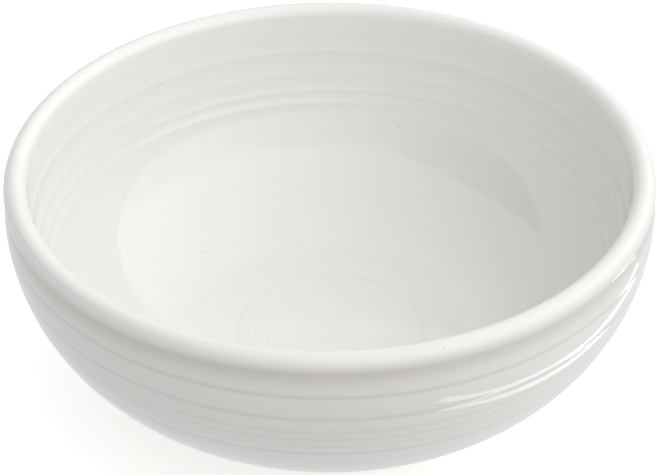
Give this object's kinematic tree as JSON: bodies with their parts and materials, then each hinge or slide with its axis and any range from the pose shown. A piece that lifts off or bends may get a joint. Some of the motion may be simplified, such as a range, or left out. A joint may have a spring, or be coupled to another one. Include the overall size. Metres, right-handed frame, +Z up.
{
  "type": "shaving bowl",
  "caption": "Wide round lather bowl of glazed white china with a thick rounded lip, shallow turned rings inside and out, and a ringed floor.",
  "frame": {"origin": "centre of the foot ring's underside, on the surface that the bowl stands on", "axes": "+Z up along the axis that the bowl was turned about; the bowl is round, so X and Y are any two level directions"},
  "size_m": [0.1308, 0.1308, 0.051],
  "materials": {
    "bare_clay": "unglazed fired clay, matt, slightly darkened where the foot rubs",
    "white_glaze": "glossy white glaze with fine specks, thinner and crisper over the ring edges"
  },
  "bodies": {
    "root": {"clay_body": "bare_clay", "outer_glaze": "white_glaze", "recess_glaze": "white_glaze"}
  },
  "joints": []
}
